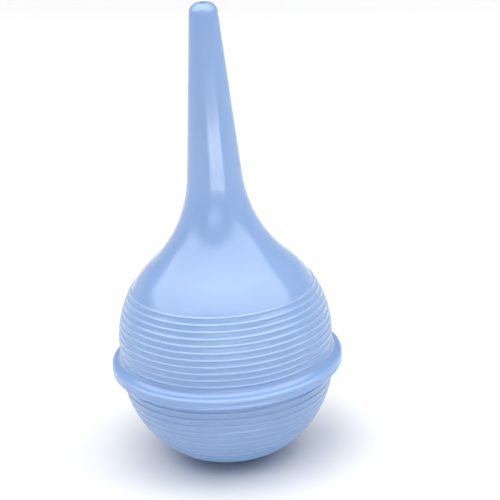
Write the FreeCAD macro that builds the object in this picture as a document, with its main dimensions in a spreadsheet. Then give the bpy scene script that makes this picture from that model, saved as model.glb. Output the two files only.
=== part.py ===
"""Bulb aspirator: two soft mouldings bonded at a collar, with a wall that is squeezed front and back.

Frame: millimetres, +Z up along the nozzle, origin in the middle of the flat foot.
The front, where the thumb presses, faces -Y.
"""
import FreeCAD, Part
import math
import os

import Sketcher

DRIVING_SIZES = [
    ("overall_length", 146.0, "from the flat foot to the end of the nozzle"),
    ("bulb_radius", 33.6, "outside of the bulb's wall at its widest"),
    ("foot_radius", 11.0, "flat that the bulb stands on"),
    ("wall", 2.0, "wall of the bulb"),
    ("floor_wall", 2.2, "wall over the flat foot"),
    ("belt_height", 7.8, "straight wall between the lower bowl and the upper dome"),
    ("collar_overhang", 3.1, "how far the collar stands out of the wall"),
    ("collar_height", 3.2, "band of the collar"),
    ("collar_drop", 1.4, "how far the collar reaches below the bowl's widest line"),
    ("collar_corner", 0.8, "chamfer of the collar's upper edge"),
    ("collar_under_corner", 0.5, "chamfer of the collar's lower edge"),
    ("collar_fillet", 2.0, "hollow rounding between the wall and the collar's top"),
    ("lap", 2.2, "how deep the bowl's rim sits up inside the collar"),
    ("bond_gap", 0.05, "film of cement between the rim and the collar"),
    ("neck_radius", 42.0, "hollow flare between the dome and the nozzle"),
    ("tip_radius", 4.1, "nozzle radius at its end, before the end is rounded"),
    ("taper_angle", 4.7, "half angle of the nozzle, in degrees"),
    ("tip_land", 0.15, "flat ring round the hole, between it and the rounding of the nozzle's end"),
    ("orifice_radius", 1.0, "hole in the nozzle's end"),
    ("orifice_length", 6.0, "straight length of that hole"),
    ("rib_radius", 0.35, "half width of a grip rib"),
    ("rib_height", 0.3, "how far a grip rib stands proud"),
    ("rib_top_angle", 31.0, "where the highest rib lies on the dome, in degrees above its centre"),
    ("upper_rib_margin", 0.75, "smooth wall between the collar's fillet and the lowest upper rib"),
    ("lower_rib_start", 4.2, "first lower rib below the bowl's widest line, along the wall"),
    ("lower_rib_margin", 9.6, "smooth wall between the last lower rib and the foot, along the wall"),
    ("press_width", 30.0, "width of the window that a finger presses in"),
    ("press_clearance", 0.35, "slit round the patch of wall in that window"),
]
UPPER_RIBS = 11
LOWER_RIBS = 12
# A press window ends midway between two ribs, above and below the collar.
RIBS_ABOVE_WINDOW = 2
RIBS_IN_LOWER_WINDOW = 3

# Heights that several pieces share, as formulas of the driving sizes.
EQUATOR = "sqrt(Sizes.bulb_radius ^ 2 - Sizes.foot_radius ^ 2)"
DOME_CENTRE = f"({EQUATOR} + Sizes.belt_height)"
COLLAR_LOW = f"({EQUATOR} - Sizes.collar_drop)"
RIM_TOP = f"({COLLAR_LOW} + Sizes.lap)"
RIB_RING = "(Sizes.bulb_radius + Sizes.rib_height - Sizes.rib_radius)"

# Along the wall, from the dome's lower edge up to the highest rib and down to the lowest upper rib,
# and from the bowl's widest line down to the foot. The ribs share these runs evenly.
TOP_RIB = "(Sizes.rib_top_angle * pi / 180 * Sizes.bulb_radius)"
LOWEST_RIB = (f"({COLLAR_LOW} + Sizes.collar_height + Sizes.collar_fillet + Sizes.upper_rib_margin"
              f" - {DOME_CENTRE})")
FOOT_EDGE = "(acos(Sizes.foot_radius / Sizes.bulb_radius) / 1 deg * pi / 180 * Sizes.bulb_radius)"

doc = FreeCAD.newDocument("bulb_aspirator")
sheet = doc.addObject("Spreadsheet::Sheet", "Sizes")
size = {}
for row, (alias, value, meaning) in enumerate(DRIVING_SIZES, start=1):
    sheet.set(f"A{row}", alias)
    sheet.set(f"B{row}", str(value))
    sheet.set(f"C{row}", meaning)
    sheet.setAlias(f"B{row}", alias)
    size[alias] = value
doc.recompute()


class Outline:
    """A closed outline in a body's XZ plane: radius along x, height along y."""

    def __init__(self, body, name):
        self.sketch = body.newObject("Sketcher::SketchObject", name)
        planes = [item for item in body.Origin.OriginFeatures if item.Role == "XZ_Plane"]
        self.sketch.AttachmentSupport = (planes[0], [""])
        self.sketch.MapMode = "FlatFace"
        self.ends = []

    def line(self, start, end):
        segment = Part.LineSegment(FreeCAD.Vector(*start, 0), FreeCAD.Vector(*end, 0))
        self.ends.append((start, end))
        return self.sketch.addGeometry(segment, False)

    def arc(self, centre, radius, from_angle, to_angle):
        """Arc run anticlockwise from one angle to the other, in radians."""
        circle = Part.Circle(FreeCAD.Vector(*centre, 0), FreeCAD.Vector(0, 0, 1), radius)
        places = [(centre[0] + radius * math.cos(angle), centre[1] + radius * math.sin(angle))
                  for angle in (from_angle, to_angle)]
        self.ends.append(tuple(places))
        return self.sketch.addGeometry(Part.ArcOfCircle(circle, from_angle, to_angle), False)

    def join(self, first, second, kind):
        """Join the two ends that meet, with a corner (Coincident) or smoothly (Tangent)."""
        pairs = [(math.dist(self.ends[first][i], self.ends[second][j]), i + 1, j + 1)
                 for i in (0, 1) for j in (0, 1)]
        gap, end_of_first, end_of_second = min(pairs)
        self.sketch.addConstraint(Sketcher.Constraint(kind, first, end_of_first, second, end_of_second))

    def rule(self, kind, *where):
        self.sketch.addConstraint(Sketcher.Constraint(kind, *where))

    def bind(self, kind, *where, value, formula):
        """Add a dimension and bind it to a formula of the sheet's sizes."""
        number = self.sketch.addConstraint(Sketcher.Constraint(kind, *where, value))
        self.sketch.setExpression(f"Constraints[{number}]", formula)

    def place(self, geometry, end, across=None, up=None):
        """Hold a point at a distance from the axis and the ground: each is (value, formula)."""
        if across:
            self.bind("DistanceX", -1, 1, geometry, end, value=across[0], formula=across[1])
        if up:
            self.bind("DistanceY", -1, 1, geometry, end, value=up[0], formula=up[1])

    def circle(self, across, up, radius):
        """A whole circle; each argument is (value, formula)."""
        ring = Part.Circle(FreeCAD.Vector(across[0], up[0], 0), FreeCAD.Vector(0, 0, 1), radius[0])
        number = self.sketch.addGeometry(ring, False)
        self.bind("Radius", number, value=radius[0], formula=radius[1])
        self.place(number, 3, across=across, up=up)


def revolve(body, outline, name):
    """Turn an outline round the nozzle's axis."""
    turned = body.newObject("PartDesign::Revolution", name)
    turned.Profile = outline.sketch
    turned.ReferenceAxis = (outline.sketch, ["V_Axis"])
    turned.Angle = 360
    return turned


def add_ribs(body, name, centre, places):
    """Grip ribs: rings sunk into the wall at (angle above the centre, drop below it) along the bulb.

    centre and both values of every place are (value, formula).
    """
    outline = Outline(body, f"{name}_outline")
    ring = size["bulb_radius"] + size["rib_height"] - size["rib_radius"]
    for angle, drop in places:
        across = (ring * math.cos(math.radians(angle[0])), f"{RIB_RING} * cos({angle[1]})")
        up = (centre[0] + ring * math.sin(math.radians(angle[0])) + drop[0],
              f"{centre[1]} + {RIB_RING} * sin({angle[1]}) + {drop[1]}")
        outline.circle(across, up, (size["rib_radius"], "Sizes.rib_radius"))
    revolve(body, outline, name)


bulb_r = size["bulb_radius"]
equator = math.sqrt(bulb_r ** 2 - size["foot_radius"] ** 2)
dome_centre = equator + size["belt_height"]
collar_low = equator - size["collar_drop"]
collar_top = collar_low + size["collar_height"]
collar_r = bulb_r + size["collar_overhang"]
rim_top = collar_low + size["lap"]
socket_r = bulb_r + size["bond_gap"]
inner_r = bulb_r - size["wall"]


def upper_rib_angle(number):
    """Degrees above the dome's centre of a rib counted from the top, as a value and a formula.

    A rib below the dome, on the belt, has an angle under 0.
    """
    top = math.radians(size["rib_top_angle"]) * bulb_r
    lowest = collar_top + size["collar_fillet"] + size["upper_rib_margin"] - dome_centre
    share = number / (UPPER_RIBS - 1)
    formula = f"(({TOP_RIB} + ({LOWEST_RIB} - {TOP_RIB}) * {share}) / Sizes.bulb_radius * 180 / pi)"
    return math.degrees((top + (lowest - top) * share) / bulb_r), formula


def lower_rib_angle(number):
    """Degrees below the bowl's widest line of a rib counted from the top, as a value and a formula."""
    foot_edge = math.acos(size["foot_radius"] / bulb_r) * bulb_r
    start = size["lower_rib_start"]
    share = number / (LOWER_RIBS - 1)
    along = start + (foot_edge - size["lower_rib_margin"] - start) * share
    formula = (f"((Sizes.lower_rib_start + ({FOOT_EDGE} - Sizes.lower_rib_margin - Sizes.lower_rib_start)"
               f" * {share}) / Sizes.bulb_radius * 180 / pi)")
    return math.degrees(along / bulb_r), formula


def upper_moulding():
    """Nozzle, shoulder, ribbed dome and collar, hollow from the socket to the orifice."""
    body = doc.addObject("PartDesign::Body", "upper_moulding")
    length = size["overall_length"]
    taper = math.radians(size["taper_angle"])
    neck = size["neck_radius"]
    fillet = size["collar_fillet"]
    corner = size["collar_corner"]
    under = size["collar_under_corner"]
    hole = size["orifice_radius"]
    hole_start = length - size["orifice_length"]

    # The flare's centre is a neck radius from the nozzle's side and touches the dome from outside.
    slope = math.tan(taper)
    offset = size["tip_radius"] + neck / math.cos(taper)
    rise = length - dome_centre
    half_b = rise - offset * slope
    span = 1 + slope ** 2
    root = math.sqrt(half_b ** 2 - span * (offset ** 2 + rise ** 2 - (bulb_r + neck) ** 2))
    below_tip = (half_b - root) / span
    flare = (offset + below_tip * slope, length - below_tip)
    dome_end = math.atan2(flare[1] - dome_centre, flare[0])
    # The bore is a cone that leaves the inside of the flare smoothly and ends at the orifice.
    inner_neck = neck + size["wall"]
    aim = math.atan2(flare[1] - hole_start, flare[0] - hole)
    reach = math.hypot(flare[0] - hole, flare[1] - hole_start)
    bore_taper = aim + math.acos(inner_neck / reach)
    # The end's rounding fills what the hole and the flat ring round it leave of the tip.
    round_x = hole + size["tip_land"]
    tip_round = (size["tip_radius"] - round_x) / (1 / math.cos(taper) - slope)

    def on_flare(radius, angle):
        return (flare[0] - radius * math.cos(angle), flare[1] - radius * math.sin(angle))

    nozzle_foot = on_flare(neck, taper)
    bore_foot = on_flare(inner_neck, bore_taper)
    nozzle_head = (round_x + tip_round * math.cos(taper), length - tip_round + tip_round * math.sin(taper))

    outline = Outline(body, "upper_outline")
    under_face = outline.line((socket_r, collar_low), (collar_r - under, collar_low))
    under_chamfer = outline.line((collar_r - under, collar_low), (collar_r, collar_low + under))
    band = outline.line((collar_r, collar_low + under), (collar_r, collar_top - corner))
    top_chamfer = outline.line((collar_r, collar_top - corner), (collar_r - corner, collar_top))
    top_face = outline.line((collar_r - corner, collar_top), (bulb_r + fillet, collar_top))
    hollow = outline.arc((bulb_r + fillet, collar_top + fillet), fillet, math.pi, 1.5 * math.pi)
    belt = outline.line((bulb_r, collar_top + fillet), (bulb_r, dome_centre))
    dome = outline.arc((0, dome_centre), bulb_r, 0, dome_end)
    shoulder = outline.arc(flare, neck, math.pi + taper, math.pi + dome_end)
    nozzle = outline.line(nozzle_foot, nozzle_head)
    nose = outline.arc((round_x, length - tip_round), tip_round, taper, math.pi / 2)
    mouth = outline.line((round_x, length), (hole, length))
    orifice = outline.line((hole, length), (hole, hole_start))
    bore = outline.line((hole, hole_start), bore_foot)
    inner_shoulder = outline.arc(flare, inner_neck, math.pi + bore_taper, math.pi + dome_end)
    inner_dome = outline.arc((0, dome_centre), inner_r, 0, dome_end)
    inner_belt = outline.line((inner_r, dome_centre), (inner_r, rim_top))
    seat = outline.line((inner_r, rim_top), (socket_r, rim_top))
    socket = outline.line((socket_r, rim_top), (socket_r, collar_low))

    cornered = [under_face, under_chamfer, band, top_chamfer, top_face]
    for first, second in zip(cornered, cornered[1:]):
        outline.join(first, second, "Coincident")
    smooth = [top_face, hollow, belt, dome, shoulder, nozzle, nose, mouth]
    for first, second in zip(smooth, smooth[1:]):
        outline.join(first, second, "Tangent")
    for first, second in ((bore, inner_shoulder), (inner_shoulder, inner_dome), (inner_dome, inner_belt)):
        outline.join(first, second, "Tangent")
    for first, second in ((mouth, orifice), (orifice, bore), (inner_belt, seat), (seat, socket),
                          (socket, under_face)):
        outline.join(first, second, "Coincident")
    for level in (under_face, top_face, mouth, seat):
        outline.rule("Horizontal", level)
    for upright in (band, belt, orifice, inner_belt, socket):
        outline.rule("Vertical", upright)
    outline.rule("PointOnObject", dome, 3, -2)
    outline.rule("Coincident", inner_dome, 3, dome, 3)
    outline.rule("Coincident", inner_shoulder, 3, shoulder, 3)

    for arc, alias in ((hollow, "collar_fillet"), (dome, "bulb_radius"), (shoulder, "neck_radius")):
        outline.bind("Radius", arc, value=size[alias], formula=f"Sizes.{alias}")
    for direction in ("DistanceX", "DistanceY"):
        outline.bind(direction, under_chamfer, 1, under_chamfer, 2,
                     value=under, formula="Sizes.collar_under_corner")
    outline.bind("DistanceX", top_chamfer, 2, top_chamfer, 1, value=corner, formula="Sizes.collar_corner")
    outline.bind("DistanceY", top_chamfer, 1, top_chamfer, 2, value=corner, formula="Sizes.collar_corner")
    outline.bind("Radius", inner_dome, value=inner_r, formula="Sizes.bulb_radius - Sizes.wall")
    outline.place(dome, 3, up=(dome_centre, DOME_CENTRE))
    outline.place(band, 1, across=(collar_r, "Sizes.bulb_radius + Sizes.collar_overhang"))
    outline.place(under_face, 1, up=(collar_low, COLLAR_LOW))
    outline.place(top_face, 1, up=(collar_top, f"{COLLAR_LOW} + Sizes.collar_height"))
    outline.place(socket, 1, across=(socket_r, "Sizes.bulb_radius + Sizes.bond_gap"), up=(rim_top, RIM_TOP))
    outline.place(mouth, 2, across=(hole, "Sizes.orifice_radius"), up=(length, "Sizes.overall_length"))
    outline.bind("DistanceX", mouth, 2, mouth, 1, value=size["tip_land"], formula="Sizes.tip_land")
    outline.place(orifice, 2, up=(hole_start, "Sizes.overall_length - Sizes.orifice_length"))
    # The nozzle's sides lean in by the taper and would meet the end's plane at the tip radius.
    corner_point = outline.sketch.addGeometry(Part.Point(FreeCAD.Vector(size["tip_radius"], length, 0)), True)
    outline.rule("PointOnObject", corner_point, 1, nozzle)
    outline.rule("PointOnObject", corner_point, 1, mouth)
    outline.place(corner_point, 1, across=(size["tip_radius"], "Sizes.tip_radius"))
    outline.bind("Angle", nozzle, value=math.pi / 2 + taper, formula="90 + Sizes.taper_angle")
    revolve(body, outline, "upper_wall")

    places = []
    for number in range(UPPER_RIBS):
        angle, formula = upper_rib_angle(number)
        drop = (min(0.0, math.radians(angle) * bulb_r),
                f"min(0; {formula} * pi / 180 * Sizes.bulb_radius)")
        places.append(((max(0.0, angle), f"max(0; {formula})"), drop))
    add_ribs(body, "upper_ribs", (dome_centre, DOME_CENTRE), places)
    return body


def lower_moulding():
    """Ribbed bowl with a flat foot, whose rim sits up inside the collar."""
    body = doc.addObject("PartDesign::Body", "lower_moulding")
    foot = size["foot_radius"]
    floor = size["floor_wall"]
    inner_foot = math.sqrt(inner_r ** 2 - (equator - floor) ** 2)

    outline = Outline(body, "lower_outline")
    base = outline.line((0, 0), (foot, 0))
    bowl = outline.arc((0, equator), bulb_r, -math.acos(foot / bulb_r), 0)
    rim_out = outline.line((bulb_r, equator), (bulb_r, rim_top))
    rim = outline.line((bulb_r, rim_top), (inner_r, rim_top))
    rim_in = outline.line((inner_r, rim_top), (inner_r, equator))
    inner_bowl = outline.arc((0, equator), inner_r, -math.acos(inner_foot / inner_r), 0)
    inner_floor = outline.line((inner_foot, floor), (0, floor))
    axis = outline.line((0, floor), (0, 0))

    for first, second in ((bowl, rim_out), (rim_in, inner_bowl)):
        outline.join(first, second, "Tangent")
    for first, second in ((base, bowl), (rim_out, rim), (rim, rim_in), (inner_bowl, inner_floor),
                          (inner_floor, axis), (axis, base)):
        outline.join(first, second, "Coincident")
    for level in (base, rim, inner_floor):
        outline.rule("Horizontal", level)
    for upright in (rim_out, rim_in, axis):
        outline.rule("Vertical", upright)
    outline.rule("Coincident", base, 1, -1, 1)
    outline.rule("PointOnObject", bowl, 3, -2)
    outline.rule("Coincident", inner_bowl, 3, bowl, 3)
    outline.bind("Radius", bowl, value=bulb_r, formula="Sizes.bulb_radius")
    outline.bind("Radius", inner_bowl, value=inner_r, formula="Sizes.bulb_radius - Sizes.wall")
    outline.place(base, 2, across=(foot, "Sizes.foot_radius"))
    outline.place(axis, 1, up=(floor, "Sizes.floor_wall"))
    outline.place(rim, 1, up=(rim_top, RIM_TOP))
    revolve(body, outline, "lower_wall")

    places = []
    for number in range(LOWER_RIBS):
        angle, formula = lower_rib_angle(number)
        places.append(((-angle, f"-{formula}"), (0.0, "0")))
    add_ribs(body, "lower_ribs", (equator, EQUATOR), places)
    return body


def press_block(name, side, slit):
    """Block cutter through one side of the bulb, less a slit all round.

    side is -1 for the front and 1 for the back; slit is a formula.
    """
    top = f"({DOME_CENTRE} + {RIB_RING} * sin({upper_rib_angle(RIBS_ABOVE_WINDOW - 0.5)[1]}))"
    bottom = f"({EQUATOR} - {RIB_RING} * sin({lower_rib_angle(RIBS_IN_LOWER_WINDOW - 0.5)[1]}))"
    reach = "(Sizes.bulb_radius + 2 * Sizes.collar_overhang)"
    cutter = doc.addObject("Part::Box", name)
    cutter.setExpression("Length", f"Sizes.press_width - 2 * {slit}")
    cutter.setExpression("Width", reach)
    cutter.setExpression("Height", f"{top} - {bottom} - 2 * {slit}")
    cutter.setExpression("Placement.Base.x", f"-Sizes.press_width / 2 + {slit}")
    cutter.setExpression("Placement.Base.y", f"-{reach}" if side < 0 else "0")
    cutter.setExpression("Placement.Base.z", f"{bottom} + {slit}")
    return cutter


def split_moulding(body, name, windows, patches):
    """Cut a moulding into its shell and the two patches of wall that are squeezed in."""
    shell = doc.addObject("Part::Cut", f"{name}_shell_cut")
    shell.Base = body
    shell.Tool = windows
    pieces = [shell]
    for side, cutter in patches.items():
        patch = doc.addObject("Part::Common", f"{name}_{side}_cut")
        patch.Base = body
        patch.Tool = cutter
        pieces.append(patch)
    return pieces


upper = upper_moulding()
lower = lower_moulding()
window_pair = doc.addObject("Part::Fuse", "windows")
window_pair.Base = press_block("thumb_window", -1, "0")
window_pair.Tool = press_block("finger_window", 1, "0")
patch_cutters = {
    "thumb": press_block("thumb_patch", -1, "Sizes.press_clearance"),
    "finger": press_block("finger_patch", 1, "Sizes.press_clearance"),
}

nodes = {}
for moulding, level, shell_name in ((upper, "upper", "upper_shell"), (lower, "lower", "lower_cup")):
    pieces = split_moulding(moulding, level, window_pair, patch_cutters)
    for piece, label in zip(pieces, (shell_name, f"{level}_thumb_wall", f"{level}_finger_wall")):
        piece.Label = label
        nodes[label] = piece

doc.recompute()
for item in doc.Objects:
    if "Invalid" in item.State or "Error" in item.State:
        raise RuntimeError(f"{item.Label} did not rebuild: {item.State}")
for label, piece in nodes.items():
    if piece.Shape.isNull() or not piece.Shape.isValid() or not piece.Shape.Solids:
        raise RuntimeError(f"{label} has no valid solid")

os.makedirs("parts", exist_ok=True)
for label, piece in nodes.items():
    piece.Shape.exportStep(f"parts/{label}.step")
    box = piece.Shape.BoundBox
    print(f"{label}: {len(piece.Shape.Solids)} solid, {piece.Shape.Volume:.0f} mm3, "
          f"z {box.ZMin:.2f} to {box.ZMax:.2f}")
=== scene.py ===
"""Bulb aspirator in soft blue vinyl: the looks of its two mouldings, and the stage they stand on."""

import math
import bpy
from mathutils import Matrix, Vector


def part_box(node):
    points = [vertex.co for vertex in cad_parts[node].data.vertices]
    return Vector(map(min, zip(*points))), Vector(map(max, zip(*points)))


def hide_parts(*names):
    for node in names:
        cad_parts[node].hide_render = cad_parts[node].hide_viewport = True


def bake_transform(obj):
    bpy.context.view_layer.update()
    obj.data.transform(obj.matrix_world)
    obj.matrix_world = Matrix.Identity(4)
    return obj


bl_info = {
    "name": "Bulb aspirator",
    "version": (1, 0, 0),
    "blender": (4, 5, 0),
    "location": "3D View > Sidebar > Aspirator",
    "description": "Builds the two vinyl mouldings of a bulb aspirator around its packed frame",
    "category": "Object",
}

import bmesh
import bpy
import numpy as np
from mathutils import Matrix, Vector, noise

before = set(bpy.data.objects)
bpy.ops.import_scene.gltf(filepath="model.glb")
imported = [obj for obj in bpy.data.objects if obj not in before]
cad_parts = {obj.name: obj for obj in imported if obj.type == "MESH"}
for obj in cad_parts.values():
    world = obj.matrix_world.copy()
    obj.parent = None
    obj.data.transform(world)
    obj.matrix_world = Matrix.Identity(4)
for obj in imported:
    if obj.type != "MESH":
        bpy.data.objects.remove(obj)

MM = 0.001
UPPER_NODES = ("upper_shell", "upper_thumb_wall", "upper_finger_wall")
LOWER_NODES = ("lower_cup", "lower_thumb_wall", "lower_finger_wall")
FRAME_LOW, FRAME_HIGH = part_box("upper_shell")
COLLAR_LOW = FRAME_LOW[2]
COLLAR_RADIUS = FRAME_HIGH[0]
OVERALL_LENGTH = FRAME_HIGH[2]

# Small sizes that no one would change by themselves.
BOND_GAP = 0.05 * MM
LIP = 0.2 * MM
COLLAR_ROUND = 0.9 * MM
COLLAR_UNDER_ROUND = 0.5 * MM
BAND_HOLLOW = 0.22 * MM
MOUTH_ROUND = 0.15 * MM
FLOOR_WALL = 2.2 * MM
FOOT_ROUND = 0.4 * MM

# Underside of the foot from its middle out: moulding gate, hollow, step down and standing ring.
GATE_RISE = 0.25 * MM
FOOT_RISE = 0.5 * MM
FOOT_PROFILE = (
    (0.0, GATE_RISE),
    (0.8 * MM, GATE_RISE),
    (1.3 * MM, FOOT_RISE),
    (5.6 * MM, FOOT_RISE),
    (6.0 * MM, 0.8 * FOOT_RISE),
    (6.5 * MM, 0.2 * FOOT_RISE),
    (6.9 * MM, 0.0),
    (8.8 * MM, 0.0),
)

# Smooth shading stops at edges sharper than this.
SHARP_EDGE = math.radians(50)

# Paleness painted on places other than the ribs, which have 1: partly thin vinyl, partly a painted
# highlight on the collar's edges and the nose.
COLLAR_UNDER_TONE = 0.25
COLLAR_CROWN_TONE = 0.35
NOSE_TONE = 0.15

# The soft wall's wandering: its length along the wall, a quicker part, and where it fades out.
WANDER_SCALE = 17.0 * MM
WANDER_QUICK_RATE = 2.3
WANDER_QUICK_SHARE = 0.4
WANDER_QUICK_PLACE = Vector((7.1, 3.3, 1.9))
WANDER_END_FADE = 10.0 * MM
WANDER_AXIS_FADE = 12.0 * MM

# How the wall gives way past a print, and the ends of the fingers' print beside the thumb's middle.
SAG = 0.35
FINGERS_LEFT = 9.0 * MM
FINGERS_RIGHT = 5.0 * MM

# Vinyl: noise scales in waves to the metre, and how strongly each shows.
# Vertex tone that paints ribs and edges paler: thin vinyl and a painted highlight.
PALE_HIGHLIGHT_TONE = "thin_vinyl_and_painted_highlight"
CLOUD_SCALE = 38
CLOUD_SHADE = 0.96
SMEAR_SCALE = 70
SMEAR_ROUGHNESS = 0.05
GRAIN_SCALE = 5200
GRAIN_STRENGTH = 0.6
SKIN_SCALE = 260
SKIN_STRENGTH = 0.35
# How much pale colour the tone blends in: thin vinyl and a painted highlight.
PALE_HIGHLIGHT_SHARE = 0.35
RIB_POLISH = 0.05
# Painted shade: the lower moulding's whole colour is darkened by this share.
LOWER_PAINTED_SHADE = 0.93
LOWER_OFFSET = (0.2, 0.1, 0.3)
VINYL_IOR = 1.5
SPREAD_COLOUR = (0.5, 0.8, 1.0)
SPREAD_DEPTH = 2.5 * MM

# Brightness of the studio's sky, by the sine of the height above the horizon.
SKY = ((0.0, 0.4), (0.1, 0.4), (0.22, 0.12), (0.7, 0.17), (1.0, 1.0))
SKY_STRENGTH = 1.8

# Each light's name, place, the height on the axis that it faces, width, height and power.
GLOSS_CARDS = (
    ("low_card", (-0.01, -0.3, 0.063), 0.1, 0.34, 0.024, 0.27),
    ("high_card", (-0.215, -0.56, 0.28), 0.08, 0.42, 0.12, 0.45),
    ("ceiling_card", (-0.05, -0.12, 1.0), 0.08, 4.6, 1.6, 72.0),
)
LAMPS = (
    ("key_light", (-0.42, -0.42, 1.5), OVERALL_LENGTH / 2, 1.4, 1.4, 11.5),
    ("side_light", (0.85, -0.35, 1.1), OVERALL_LENGTH / 2, 0.9, 1.0, 5.5),
    ("back_light", (-0.7, 0.9, 0.8), OVERALL_LENGTH / 2, 0.6, 0.6, 2.0),
)
FLOOR_RADIUS = 4.0
FLOOR_DROP = 0.05 * MM
FLOOR_ROUGHNESS = 0.75
SENSOR_WIDTH = 36.0


# ---------------------------------------------------------------- sizes and colours

class AspiratorShape(bpy.types.PropertyGroup):
    """Sizes of the mouldings, as the frame has them."""

    bulb_radius: bpy.props.FloatProperty(
        name="Bulb radius", description="Outside of the bulb's wall at its widest",
        default=33.6 * MM, min=0.01, unit="LENGTH", subtype="DISTANCE")
    foot_radius: bpy.props.FloatProperty(
        name="Foot radius", description="Flat that the bulb stands on",
        default=11.0 * MM, min=0.001, unit="LENGTH", subtype="DISTANCE")
    wall: bpy.props.FloatProperty(
        name="Wall", description="Thickness of the bulb's wall",
        default=2.0 * MM, min=0.0005, unit="LENGTH", subtype="DISTANCE")
    belt_height: bpy.props.FloatProperty(
        name="Belt height", description="Straight wall between the lower bowl and the upper dome",
        default=7.8 * MM, min=0.0, unit="LENGTH", subtype="DISTANCE")
    collar_height: bpy.props.FloatProperty(
        name="Collar height", description="Height of the collar's band",
        default=3.2 * MM, min=0.001, unit="LENGTH", subtype="DISTANCE")
    collar_lap: bpy.props.FloatProperty(
        name="Collar lap", description="How deep the bowl's rim sits up inside the collar",
        default=2.2 * MM, min=0.0005, unit="LENGTH", subtype="DISTANCE")
    neck_radius: bpy.props.FloatProperty(
        name="Neck radius", description="Hollow flare between the dome and the nozzle",
        default=42.0 * MM, min=0.005, unit="LENGTH", subtype="DISTANCE")
    tip_radius: bpy.props.FloatProperty(
        name="Tip radius", description="Nozzle radius at its end, before the end is rounded",
        default=4.1 * MM, min=0.001, unit="LENGTH", subtype="DISTANCE")
    taper: bpy.props.FloatProperty(
        name="Taper", description="Half angle of the nozzle",
        default=math.radians(4.7), min=0.0, max=0.3, subtype="ANGLE")
    tip_land: bpy.props.FloatProperty(
        name="Tip land", description="Flat ring between the hole and the rounding of the nozzle's end",
        default=0.15 * MM, min=0.0, unit="LENGTH", subtype="DISTANCE")
    orifice_radius: bpy.props.FloatProperty(
        name="Orifice radius", description="Hole in the nozzle's end",
        default=1.0 * MM, min=0.0003, unit="LENGTH", subtype="DISTANCE")
    orifice_length: bpy.props.FloatProperty(
        name="Orifice length", description="Straight length of the hole",
        default=6.0 * MM, min=0.001, unit="LENGTH", subtype="DISTANCE")
    rib_height: bpy.props.FloatProperty(
        name="Rib height", description="How far a grip rib stands proud of the wall",
        default=0.3 * MM, min=0.0, unit="LENGTH", subtype="DISTANCE")
    rib_half_width: bpy.props.FloatProperty(
        name="Rib half width", description="Half of a grip rib's width at the wall",
        default=0.48 * MM, min=0.0001, unit="LENGTH", subtype="DISTANCE")
    upper_rib_top: bpy.props.FloatProperty(
        name="Top rib angle", description="Where the highest rib lies, above the dome's centre",
        default=math.radians(31.0), min=0.0, max=1.2, subtype="ANGLE")
    upper_rib_margin: bpy.props.FloatProperty(
        name="Upper rib margin", description="Smooth wall between the collar and the lowest upper rib",
        default=0.75 * MM, min=0.0, unit="LENGTH", subtype="DISTANCE")
    upper_ribs: bpy.props.IntProperty(
        name="Upper ribs", description="Ribs above the collar", default=11, min=0, max=40)
    lower_rib_start: bpy.props.FloatProperty(
        name="First lower rib", description="First rib below the bowl's widest line",
        default=4.2 * MM, min=0.0, unit="LENGTH", subtype="DISTANCE")
    lower_rib_margin: bpy.props.FloatProperty(
        name="Lower rib margin", description="Smooth wall between the last lower rib and the foot",
        default=9.6 * MM, min=0.0, unit="LENGTH", subtype="DISTANCE")
    lower_ribs: bpy.props.IntProperty(
        name="Lower ribs", description="Ribs below the collar", default=12, min=0, max=40)
    waviness: bpy.props.FloatProperty(
        name="Waviness", description="How far the soft wall wanders from a true round",
        default=0.1 * MM, min=0.0, unit="LENGTH", subtype="DISTANCE")
    segments: bpy.props.IntProperty(
        name="Segments", description="Faces round the bulb", default=240, min=24, max=720)


class AspiratorPress(bpy.types.PropertyGroup):
    """Where the thumb and the fingers would press the wall in; the wall is not moved."""

    thumb_top: bpy.props.FloatVectorProperty(
        name="Thumb tip", description="Upper end of the thumb's print, across and up",
        size=2, default=(-2.0 * MM, 46.0 * MM), unit="LENGTH", subtype="XYZ")
    thumb_foot: bpy.props.FloatVectorProperty(
        name="Thumb foot", description="Lower end of the thumb's print, across and up",
        size=2, default=(6.0 * MM, 27.0 * MM), unit="LENGTH", subtype="XYZ")
    flat_radius: bpy.props.FloatProperty(
        name="Print radius", description="Wall this near the print's line moves with the finger",
        default=6.5 * MM, min=0.001, unit="LENGTH", subtype="DISTANCE")
    reach: bpy.props.FloatProperty(
        name="Reach", description="How far past the print the wall still bends",
        default=19.0 * MM, min=0.001, unit="LENGTH", subtype="DISTANCE")
    finger_share: bpy.props.FloatProperty(
        name="Finger share", description="Travel of the back wall for each unit of the thumb's",
        default=0.4, min=0.0, max=1.0, subtype="FACTOR")


class AspiratorFinish(bpy.types.PropertyGroup):
    """Colours and gloss of the vinyl."""

    vinyl: bpy.props.FloatVectorProperty(
        name="Vinyl", description="Body colour of the vinyl",
        size=4, default=(0.284, 0.438, 0.75, 1.0), min=0.0, max=1.0, subtype="COLOR")
    # A pale colour for ribs and edges: thin vinyl and a painted highlight.
    vinyl_pale_highlight: bpy.props.FloatVectorProperty(
        name="Thin vinyl", description="Paler colour of thin edges and ribs",
        size=4, default=(0.47, 0.62, 0.86, 1.0), min=0.0, max=1.0, subtype="COLOR")
    roughness: bpy.props.FloatProperty(
        name="Roughness", description="Roughness of the satin skin",
        default=0.15, min=0.05, max=1.0, subtype="FACTOR")
    translucency: bpy.props.FloatProperty(
        name="Translucency", description="Share of light that spreads inside the wall",
        default=0.2, min=0.0, max=1.0, subtype="FACTOR")
    grain: bpy.props.FloatProperty(
        name="Grain height", description="Height of the fine moulding grain",
        default=0.012 * MM, min=0.0, unit="LENGTH", subtype="DISTANCE")


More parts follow.
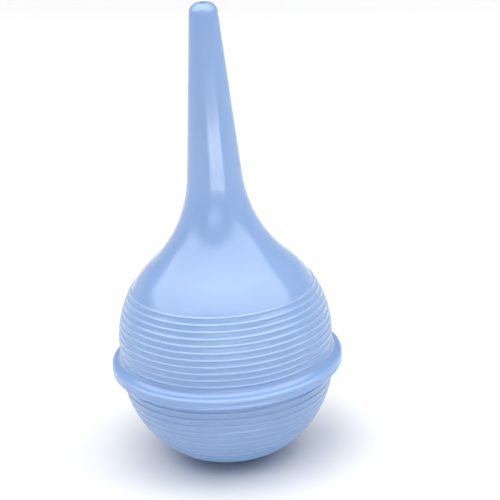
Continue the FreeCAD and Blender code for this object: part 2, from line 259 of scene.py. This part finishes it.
class AspiratorStage(bpy.types.PropertyGroup):
    """Floor, lights and camera."""

    azimuth: bpy.props.FloatProperty(
        name="Azimuth", description="Camera's turn about the nozzle, from the front",
        default=math.radians(-13.0), subtype="ANGLE")
    elevation: bpy.props.FloatProperty(
        name="Elevation", description="Camera's height above the level",
        default=math.radians(20.0), subtype="ANGLE")
    roll: bpy.props.FloatProperty(
        name="Roll", description="Camera's lean, which tips the nozzle to the left",
        default=math.radians(3.6), subtype="ANGLE")
    distance: bpy.props.FloatProperty(
        name="Distance", description="From the camera to the middle of the object",
        default=0.487, min=0.1, unit="LENGTH", subtype="DISTANCE")
    lens: bpy.props.FloatProperty(
        name="Lens", description="Focal length in millimetres", default=112.8, min=20.0)
    aside: bpy.props.FloatVectorProperty(
        name="Aside", description="How far the object stands left of and above the view's middle",
        size=2, default=(9.7 * MM, 4.7 * MM), unit="LENGTH", subtype="XYZ")
    floor_colour: bpy.props.FloatVectorProperty(
        name="Floor", description="Colour of the pale floor",
        size=4, default=(0.88, 0.88, 0.88, 1.0), min=0.0, max=1.0, subtype="COLOR")


# ---------------------------------------------------------------- outlines

def arc(centre, radius, start, end, step):
    """Points along an arc from one angle to another, both ends included."""
    count = max(2, int(abs(end - start) * radius / step) + 1)
    return [(centre[0] + radius * math.cos(angle), centre[1] + radius * math.sin(angle))
            for angle in np.linspace(start, end, count + 1)]


def run(start, end, step):
    """Points along a straight run, both ends included."""
    count = max(1, int(math.dist(start, end) / step))
    return [tuple(np.array(start) + (np.array(end) - start) * share)
            for share in np.linspace(0, 1, count + 1)]


def wall_with_ribs(place, normal_at, start, end, ribs, shape, step):
    """Wall points by distance along it, with a rounded rib at each distance in ribs.

    place gives the point at a distance, and normal_at the way out of the wall there.
    Returns the points and, for each, how much it belongs to a rib.
    """
    half = shape.rib_half_width
    stations = set(np.round(np.linspace(start, end, max(2, int((end - start) / step))), 7))
    for rib in ribs:
        stations = {s for s in stations if abs(s - rib) > half}
        stations.update(np.round(rib + half * np.linspace(-1, 1, 9), 7))
    points, tones = [], []
    for station in sorted(s for s in stations if start - 1e-9 <= s <= end + 1e-9):
        tone = sum((1 - ((station - rib) / half) ** 2) ** 2 for rib in ribs
                   if abs(station - rib) < half)
        base, out = place(station), normal_at(station)
        height = shape.rib_height * tone
        points.append((base[0] + out[0] * height, base[1] + out[1] * height))
        tones.append(tone)
    return points, tones


class Outline:
    """A half section: points (radius, height) with a paleness for each: thin vinyl and a painted
    highlight.
    """

    def __init__(self):
        self.points = []
        self.tones = []

    def add(self, points, tones=None, tone=0.0):
        for number, point in enumerate(points):
            if self.points and math.dist(point, self.points[-1]) < 1e-6:
                continue
            self.points.append(tuple(point))
            self.tones.append(tones[number] if tones else tone)


def levels(shape):
    """Heights that both mouldings share, and the fillet between collar and belt."""
    equator = math.sqrt(shape.bulb_radius ** 2 - shape.foot_radius ** 2)
    return {
        "equator": equator,
        "dome": equator + shape.belt_height,
        "rim": COLLAR_LOW + shape.collar_lap,
        "collar_top": COLLAR_LOW + shape.collar_height,
        "fillet": COLLAR_RADIUS - COLLAR_ROUND - shape.bulb_radius,
    }


def flare_centre(shape, dome_height):
    """Centre of the hollow flare, which touches the nozzle's side and the outside of the dome."""
    slope = math.tan(shape.taper)
    offset = shape.tip_radius + shape.neck_radius / math.cos(shape.taper)
    rise = OVERALL_LENGTH - dome_height
    half_b = rise - offset * slope
    span = 1 + slope ** 2
    apart = shape.bulb_radius + shape.neck_radius
    root = math.sqrt(half_b ** 2 - span * (offset ** 2 + rise ** 2 - apart ** 2))
    below_tip = (half_b - root) / span
    return (offset + below_tip * slope, OVERALL_LENGTH - below_tip)


def add_collar(section, shape, level):
    """Socket for the bowl's rim, underside, band, crown and the fillet up to the belt."""
    socket = shape.bulb_radius + BOND_GAP
    section.add(run((socket, level["rim"]), (socket, COLLAR_LOW + LIP), step=1.0 * MM))
    section.add(arc((socket + LIP, COLLAR_LOW + LIP), LIP, math.pi, 1.5 * math.pi, step=0.08 * MM))
    under = COLLAR_UNDER_ROUND
    under_centre = (COLLAR_RADIUS - under, COLLAR_LOW + under)
    # The collar's under-round is painted paler: a painted highlight on its edge.
    section.add(arc(under_centre, under, -math.pi / 2, 0, step=0.12 * MM), tone=COLLAR_UNDER_TONE)

    # A hairline bead runs along the collar's lower edge, then the band rises in a shallow hollow.
    crown_centre = (COLLAR_RADIUS - COLLAR_ROUND, level["collar_top"] - COLLAR_ROUND)
    band = run((COLLAR_RADIUS, COLLAR_LOW + under), (COLLAR_RADIUS, crown_centre[1]), step=0.2 * MM)
    last = len(band) - 1
    section.add([(radius - BAND_HOLLOW * math.sin(math.pi * number / last), height)
                 for number, (radius, height) in enumerate(band)])
    crown = arc(crown_centre, COLLAR_ROUND, 0, math.pi / 2, step=0.12 * MM)
    # The collar's crown is painted paler: a painted highlight on its edge.
    section.add(crown, tone=COLLAR_CROWN_TONE)
    fillet = level["fillet"]
    fillet_centre = (shape.bulb_radius + fillet, level["collar_top"] + fillet)
    section.add(arc(fillet_centre, fillet, 1.5 * math.pi, math.pi, step=0.25 * MM))


def add_ribbed_dome(section, shape, level, dome_end):
    """Belt and dome with their ribs, up to the angle where the flare begins."""
    radius = shape.bulb_radius

    # Distance along the wall is measured from the dome's lower edge: the belt lies at minus values.
    def place(along):
        angle = max(0.0, along / radius)
        return (radius * math.cos(angle), level["dome"] + radius * math.sin(angle) + min(0.0, along))

    def out(along):
        angle = max(0.0, along / radius)
        return (math.cos(angle), math.sin(angle))

    belt_start = level["collar_top"] + level["fillet"] - level["dome"]
    ribs = np.linspace(shape.upper_rib_top * radius, belt_start + shape.upper_rib_margin,
                       shape.upper_ribs)
    points, tones = wall_with_ribs(place, out, belt_start, dome_end * radius, ribs, shape, 0.7 * MM)
    section.add(points, tones)


def add_nozzle(section, shape, flare, dome_end):
    """Flare, tapered side, rounded nose and mouth, then the bore back down to the dome's inside."""
    neck, taper, hole, wall = shape.neck_radius, shape.taper, shape.orifice_radius, shape.wall
    section.add(arc(flare, neck, math.pi + dome_end, math.pi + taper, step=1.2 * MM))
    land_edge = hole + shape.tip_land
    nose = (shape.tip_radius - land_edge) / (1 / math.cos(taper) - math.tan(taper))
    nose_centre = (land_edge, OVERALL_LENGTH - nose)
    nose_start = (nose_centre[0] + nose * math.cos(taper), nose_centre[1] + nose * math.sin(taper))
    section.add(run(section.points[-1], nose_start, step=2.5 * MM))
    # The nose is painted a little paler: thin vinyl and a painted highlight.
    section.add(arc(nose_centre, nose, taper, math.pi / 2, step=0.2 * MM), tone=NOSE_TONE)

    mouth_centre = (hole + MOUTH_ROUND, OVERALL_LENGTH - MOUTH_ROUND)
    section.add(arc(mouth_centre, MOUTH_ROUND, math.pi / 2, math.pi, step=0.08 * MM))
    hole_start = (hole, OVERALL_LENGTH - shape.orifice_length)
    section.add(run((hole, mouth_centre[1]), hole_start, step=1.5 * MM))

    # The bore runs straight from the hole until it touches the inside of the flare.
    across, down = flare[0] - hole, flare[1] - hole_start[1]
    bore_taper = math.atan2(down, across) + math.acos((neck + wall) / math.hypot(across, down))
    bore_foot = (flare[0] - (neck + wall) * math.cos(bore_taper),
                 flare[1] - (neck + wall) * math.sin(bore_taper))
    section.add(run(hole_start, bore_foot, step=4.0 * MM))
    section.add(arc(flare, neck + wall, math.pi + bore_taper, math.pi + dome_end, step=2.0 * MM))


def upper_outline(shape):
    """Half section of the upper moulding: collar, ribbed belt and dome, shoulder, nozzle and bore."""
    level = levels(shape)
    flare = flare_centre(shape, level["dome"])
    dome_end = math.atan2(flare[1] - level["dome"], flare[0])
    inner = shape.bulb_radius - shape.wall
    section = Outline()
    add_collar(section, shape, level)
    add_ribbed_dome(section, shape, level, dome_end)
    add_nozzle(section, shape, flare, dome_end)
    section.add(arc((0.0, level["dome"]), inner, dome_end, 0, step=1.5 * MM))
    section.add(run((inner, level["dome"]), (inner, level["rim"]), step=2.0 * MM))
    return section


def lower_outline(shape):
    """Half section of the lower moulding: foot, ribbed bowl and the rim that the collar hides."""
    level = levels(shape)
    radius, foot, equator = shape.bulb_radius, shape.foot_radius, level["equator"]
    inner = radius - shape.wall
    inner_foot = math.sqrt(inner ** 2 - (equator - FLOOR_WALL) ** 2)
    section = Outline()
    section.add(FOOT_PROFILE)
    section.add([(foot - FOOT_ROUND / 2, 0.0)])

    # Distance along the wall is measured from the bottom pole up.
    def place(along):
        angle = along / radius
        return (radius * math.sin(angle), equator - radius * math.cos(angle))

    def out(along):
        angle = along / radius
        return (math.sin(angle), -math.cos(angle))

    widest = math.pi / 2 * radius
    foot_edge = math.asin(foot / radius) * radius
    ribs = np.linspace(widest - shape.lower_rib_start, foot_edge + shape.lower_rib_margin,
                       shape.lower_ribs)
    points, tones = wall_with_ribs(place, out, foot_edge + FOOT_ROUND, widest, ribs, shape, 0.9 * MM)
    section.add(points, tones)
    section.add(run((radius, equator), (radius, level["rim"]), step=0.8 * MM))
    section.add(run((radius, level["rim"]), (inner, level["rim"]), step=1.0 * MM))
    section.add(run((inner, level["rim"]), (inner, equator), step=1.0 * MM))
    section.add(arc((0.0, equator), inner, 0, -math.acos(inner_foot / inner), step=1.8 * MM))
    section.add(run((inner_foot, FLOOR_WALL), (0.0, FLOOR_WALL), step=2.0 * MM))
    return section


# ---------------------------------------------------------------- meshes

def wander(point, shape):
    """How far the soft wall stands off a true round at a point, fading out at the foot and the tip."""
    place = Vector(point) / WANDER_SCALE
    slow = noise.noise(place)
    quick = noise.noise(place * WANDER_QUICK_RATE + WANDER_QUICK_PLACE)
    from_foot = min(1.0, point[2] / WANDER_END_FADE)
    from_tip = min(1.0, (OVERALL_LENGTH - point[2]) / WANDER_END_FADE)
    from_axis = min(1.0, math.hypot(point[0], point[1]) / WANDER_AXIS_FADE)
    stand = slow + WANDER_QUICK_SHARE * quick
    return shape.waviness * stand * from_foot * from_tip * from_axis


def turned_mesh(name, section, shape, closed):
    """Turn a half section round the nozzle's axis.

    closed says that the section's last point joins its first; otherwise both ends lie on the axis.
    """
    mesh = bpy.data.meshes.new(name)
    build = bmesh.new()
    pale_highlight_layer = build.verts.layers.float.new(PALE_HIGHLIGHT_TONE)
    angles = [2 * math.pi * number / shape.segments for number in range(shape.segments)]
    rings = []
    for (radius, height), tone in zip(section.points, section.tones):
        if radius < 1e-7:
            ring = [build.verts.new((0, 0, height))] * shape.segments
            ring[0][pale_highlight_layer] = tone
        else:
            ring = []
            for angle in angles:
                side = (math.cos(angle), math.sin(angle))
                stand = wander((radius * side[0], radius * side[1], height), shape)
                vertex = build.verts.new(((radius + stand) * side[0], (radius + stand) * side[1], height))
                vertex[pale_highlight_layer] = tone
                ring.append(vertex)
        rings.append(ring)
    pairs = list(zip(rings, rings[1:])) + ([(rings[-1], rings[0])] if closed else [])
    for low, high in pairs:
        for number in range(shape.segments):
            following = (number + 1) % shape.segments
            corners = [low[number], low[following], high[following], high[number]]
            corners = list(dict.fromkeys(corners))
            if len(corners) > 2:
                build.faces.new(corners)
    bmesh.ops.recalc_face_normals(build, faces=build.faces)
    for face in build.faces:
        face.smooth = True
    build.to_mesh(mesh)
    build.free()
    mesh.set_sharp_from_angle(angle=SHARP_EDGE)
    piece = bpy.data.objects.new(name, mesh)
    bpy.context.scene.collection.objects.link(piece)
    return piece


def distance_to_line(points, start, end):
    """Distance of each point (across, up) from the line between two points."""
    start, end = np.array(start), np.array(end)
    along = np.clip((points - start) @ (end - start) / np.sum((end - start) ** 2), 0, 1)
    return np.linalg.norm(points - start - along[:, None] * (end - start), axis=1)


def falling(distance, flat, reach):
    """1 within flat of the print, easing to 0 past it over reach."""
    share = np.clip((distance - flat) / reach, 0, 1)
    return (1 - share ** 2) ** 2 * (1 - SAG * share)


def press_wall(piece, press):
    """Bake the piece's placement into its mesh and weigh each vertex by how near it lies to the thumb's
    and the fingers' prints; the weights are not applied, so the wall keeps its shape.
    """
    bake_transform(piece)
    at = np.array([vertex.co for vertex in piece.data.vertices])
    across_and_up = at[:, [0, 2]]
    middle = (np.array(press.thumb_top) + np.array(press.thumb_foot)) / 2
    left, right = middle - (FINGERS_LEFT, 0), middle + (FINGERS_RIGHT, 0)
    to_thumb = distance_to_line(across_and_up, press.thumb_top, press.thumb_foot)
    to_fingers = distance_to_line(across_and_up, left, right)
    thumb = falling(to_thumb, press.flat_radius, press.reach)
    fingers = falling(to_fingers, press.flat_radius, press.reach)


# ---------------------------------------------------------------- material

class Nodes:
    """Short calls for a material's node tree."""

    def __init__(self, material):
        material.use_nodes = True
        self.tree = material.node_tree
        self.shader = self.tree.nodes["Principled BSDF"]

    def node(self, kind, **settings):
        made = self.tree.nodes.new(kind)
        for name, value in settings.items():
            setattr(made, name, value)
        return made

    def link(self, source, target):
        self.tree.links.new(source, target)

    def noise(self, coordinates, scale, detail):
        made = self.node("ShaderNodeTexNoise")
        made.inputs["Scale"].default_value = scale
        made.inputs["Detail"].default_value = detail
        self.link(coordinates, made.inputs["Vector"])
        return made.outputs["Fac"]

    def ramp(self, source, low, high, to_low=0.0, to_high=1.0):
        made = self.node("ShaderNodeMapRange")
        limits = {"From Min": low, "From Max": high, "To Min": to_low, "To Max": to_high}
        for name, value in limits.items():
            made.inputs[name].default_value = value
        self.link(source, made.inputs["Value"])
        return made.outputs["Result"]

    def mix(self, factor, first, second):
        made = self.node("ShaderNodeMix", data_type="RGBA")
        self.link(factor, made.inputs["Factor"])
        for socket, value in ((made.inputs[6], first), (made.inputs[7], second)):
            if isinstance(value, bpy.types.NodeSocket):
                self.link(value, socket)
            else:
                socket.default_value = value
        return made.outputs[2]

    def math(self, operation, first, second):
        made = self.node("ShaderNodeMath", operation=operation)
        for socket, value in zip(made.inputs, (first, second)):
            if isinstance(value, bpy.types.NodeSocket):
                self.link(value, socket)
            else:
                socket.default_value = value
        return made.outputs[0]

    def bump(self, height, distance, strength, under=None):
        made = self.node("ShaderNodeBump")
        made.inputs["Distance"].default_value = distance
        made.inputs["Strength"].default_value = strength
        self.link(height, made.inputs["Height"])
        if under is not None:
            self.link(under, made.inputs["Normal"])
        return made.outputs["Normal"]


def vinyl(name, finish, shade, offset):
    """Soft satin vinyl: cloudy colour, ribs and edges painted paler (thin vinyl and a painted highlight),
    a painted shade over all where shade is below 1, fine moulding grain, faint handling marks.
    """
    material = bpy.data.materials.new(name)
    nodes = Nodes(material)
    moved = nodes.node("ShaderNodeMapping")
    moved.inputs["Location"].default_value = offset
    nodes.link(nodes.node("ShaderNodeTexCoord").outputs["Object"], moved.inputs["Vector"])
    place = moved.outputs["Vector"]

    # shade darkens the whole body colour as a painted shade; 1 leaves it as it is.
    body = [channel * shade for channel in finish.vinyl[:3]] + [1.0]
    deep = [channel * CLOUD_SHADE for channel in body[:3]] + [1.0]
    cloud = nodes.ramp(nodes.noise(place, CLOUD_SCALE, 2), 0.3, 0.7)
    # Ribs and edges are painted paler by their tone: thin vinyl and a painted highlight.
    tone = nodes.node("ShaderNodeAttribute", attribute_name=PALE_HIGHLIGHT_TONE).outputs["Fac"]
    pale_highlight = nodes.math("MULTIPLY", tone, PALE_HIGHLIGHT_SHARE)
    colour = nodes.mix(pale_highlight, nodes.mix(cloud, deep, body), tuple(finish.vinyl_pale_highlight))
    nodes.link(colour, nodes.shader.inputs["Base Color"])

    smears = nodes.noise(place, SMEAR_SCALE, 3)
    gloss = nodes.ramp(smears, 0.4, 0.75, finish.roughness, finish.roughness + SMEAR_ROUGHNESS)
    gloss = nodes.math("SUBTRACT", gloss, nodes.math("MULTIPLY", tone, RIB_POLISH))
    nodes.link(gloss, nodes.shader.inputs["Roughness"])

    grain = nodes.bump(nodes.noise(place, GRAIN_SCALE, 2), finish.grain, GRAIN_STRENGTH)
    skin = nodes.bump(nodes.noise(place, SKIN_SCALE, 2), finish.grain * 2.0, SKIN_STRENGTH, under=grain)
    nodes.link(skin, nodes.shader.inputs["Normal"])

    nodes.shader.inputs["IOR"].default_value = VINYL_IOR
    nodes.shader.inputs["Subsurface Weight"].default_value = finish.translucency
    nodes.shader.inputs["Subsurface Radius"].default_value = SPREAD_COLOUR
    nodes.shader.inputs["Subsurface Scale"].default_value = SPREAD_DEPTH
    return material


# ---------------------------------------------------------------- operators

class OBJECT_OT_upper_moulding(bpy.types.Operator):
    """Make the nozzle, shoulder, ribbed dome and collar as one hollow moulding"""

    bl_idname = "object.aspirator_upper_moulding"
    bl_label = "Upper moulding"
    bl_options = {"REGISTER", "UNDO"}

    def execute(self, context):
        scene = context.scene
        shape = scene.aspirator_shape
        piece = turned_mesh("upper_moulding", upper_outline(shape), shape, closed=True)
        skin = vinyl("blue_vinyl_upper_skin", scene.aspirator_finish, shade=1.0, offset=(0, 0, 0))
        piece.data.materials.append(skin)
        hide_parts(*UPPER_NODES)
        press_wall(piece, scene.aspirator_press)
        return {"FINISHED"}


class OBJECT_OT_lower_moulding(bpy.types.Operator):
    """Make the ribbed bowl with its foot and rim as one moulding"""

    bl_idname = "object.aspirator_lower_moulding"
    bl_label = "Lower moulding"
    bl_options = {"REGISTER", "UNDO"}

    def execute(self, context):
        scene = context.scene
        shape = scene.aspirator_shape
        piece = turned_mesh("lower_moulding", lower_outline(shape), shape, closed=False)
        # The lower skin is the same vinyl with a painted shade over all of it.
        skin = vinyl("blue_vinyl_lower_painted_shade", scene.aspirator_finish, LOWER_PAINTED_SHADE, LOWER_OFFSET)
        piece.data.materials.append(skin)
        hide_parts(*LOWER_NODES)
        press_wall(piece, scene.aspirator_press)
        return {"FINISHED"}


def soft_light(name, place, target_height, width, height, power):
    """A rectangular soft light that faces a point on the nozzle's axis."""
    light = bpy.data.lights.new(name, "AREA")
    light.shape = "RECTANGLE"
    light.size, light.size_y = width, height
    light.energy = power
    lamp = bpy.data.objects.new(name, light)
    lamp.location = place
    lamp.visible_camera = False
    way = Vector((0, 0, target_height)) - Vector(place)
    lamp.rotation_euler = way.to_track_quat("-Z", "Y").to_euler()
    bpy.context.scene.collection.objects.link(lamp)
    return lamp


class OBJECT_OT_aspirator_stage(bpy.types.Operator):
    """Make the pale floor, the soft studio light and the camera"""

    bl_idname = "object.aspirator_stage"
    bl_label = "Stage"
    bl_options = {"REGISTER", "UNDO"}

    def execute(self, context):
        scene = context.scene
        stage = scene.aspirator_stage
        self.floor(stage)
        self.lights(scene)
        self.camera(scene, stage)
        return {"FINISHED"}

    def floor(self, stage):
        mesh = bpy.data.meshes.new("floor")
        build = bmesh.new()
        bmesh.ops.create_circle(build, cap_ends=True, segments=96, radius=FLOOR_RADIUS)
        build.to_mesh(mesh)
        build.free()
        floor = bpy.data.objects.new("floor", mesh)
        floor.location.z = -FLOOR_DROP
        material = bpy.data.materials.new("pale_floor")
        nodes = Nodes(material)
        nodes.shader.inputs["Base Color"].default_value = tuple(stage.floor_colour)
        nodes.shader.inputs["Roughness"].default_value = FLOOR_ROUGHNESS
        mesh.materials.append(material)
        bpy.context.scene.collection.objects.link(floor)

    def studio_sky(self):
        """A plain sky: pale at the horizon, dim above it and bright overhead."""
        world = bpy.data.worlds.new("studio_sky")
        world.use_nodes = True
        tree = world.node_tree
        way = tree.nodes.new("ShaderNodeTexCoord")
        height = tree.nodes.new("ShaderNodeSeparateXYZ")
        shade = tree.nodes.new("ShaderNodeValToRGB")
        tree.links.new(way.outputs["Generated"], height.inputs["Vector"])
        tree.links.new(height.outputs["Z"], shade.inputs["Fac"])
        tree.links.new(shade.outputs["Color"], tree.nodes["Background"].inputs["Color"])
        tree.nodes["Background"].inputs["Strength"].default_value = SKY_STRENGTH
        stops = shade.color_ramp.elements
        while len(stops) < len(SKY):
            stops.new(0.5)
        for stop, (position, grey) in zip(stops, SKY):
            stop.position = position
            stop.color = (grey, grey, grey, 1.0)
        return world

    def lights(self, scene):
        """Cards that show only as gloss, and lamps that leave no edges of their own in the gloss."""
        scene.view_settings.view_transform = "Standard"
        scene.world = self.studio_sky()
        for card in GLOSS_CARDS:
            soft_light(*card).visible_diffuse = False
        for lamp in LAMPS:
            soft_light(*lamp).visible_glossy = False

    def camera(self, scene, stage):
        lens = bpy.data.cameras.new("camera")
        lens.lens = stage.lens
        lens.sensor_width = SENSOR_WIDTH
        camera = bpy.data.objects.new("camera", lens)
        turn, rise, lean = stage.azimuth, stage.elevation, stage.roll
        level_back = Vector((math.sin(turn), -math.cos(turn), 0))
        back = level_back * math.cos(rise) + Vector((0, 0, math.sin(rise)))
        level_right = Vector((math.cos(turn), math.sin(turn), 0))
        level_up = back.cross(level_right)
        right = level_right * math.cos(lean) - level_up * math.sin(lean)
        up = back.cross(right)
        middle = Vector((0, 0, OVERALL_LENGTH / 2))
        aside = right * stage.aside[0] - up * stage.aside[1]
        camera.location = middle + back * stage.distance + aside
        camera.rotation_mode = "QUATERNION"
        camera.rotation_quaternion = Matrix((right, up, back)).transposed().to_quaternion()
        bpy.context.scene.collection.objects.link(camera)
        scene.camera = camera


class VIEW3D_PT_aspirator(bpy.types.Panel):
    """Pieces of the bulb aspirator"""

    bl_idname = "VIEW3D_PT_aspirator"
    bl_label = "Bulb aspirator"
    bl_space_type = "VIEW_3D"
    bl_region_type = "UI"
    bl_category = "Aspirator"

    def draw(self, context):
        for operator in OPERATORS:
            self.layout.operator(operator.bl_idname)
        for group in (context.scene.aspirator_shape, context.scene.aspirator_press,
                      context.scene.aspirator_finish, context.scene.aspirator_stage):
            for name in group.bl_rna.properties.keys():
                if name not in ("rna_type", "name"):
                    self.layout.prop(group, name)


GROUPS = {
    "aspirator_shape": AspiratorShape,
    "aspirator_press": AspiratorPress,
    "aspirator_finish": AspiratorFinish,
    "aspirator_stage": AspiratorStage,
}
OPERATORS = (OBJECT_OT_upper_moulding, OBJECT_OT_lower_moulding, OBJECT_OT_aspirator_stage)


def register():
    for name, group in GROUPS.items():
        bpy.utils.register_class(group)
        setattr(bpy.types.Scene, name, bpy.props.PointerProperty(type=group))
    for item in (*OPERATORS, VIEW3D_PT_aspirator):
        bpy.utils.register_class(item)


def unregister():
    for item in reversed((*OPERATORS, VIEW3D_PT_aspirator)):
        bpy.utils.unregister_class(item)
    for name, group in reversed(GROUPS.items()):
        delattr(bpy.types.Scene, name)
        bpy.utils.unregister_class(group)


def main():
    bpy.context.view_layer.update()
    register()
    bpy.ops.object.aspirator_upper_moulding()
    bpy.ops.object.aspirator_lower_moulding()
    bpy.ops.object.aspirator_stage()


if __name__ == "__main__":
    main()
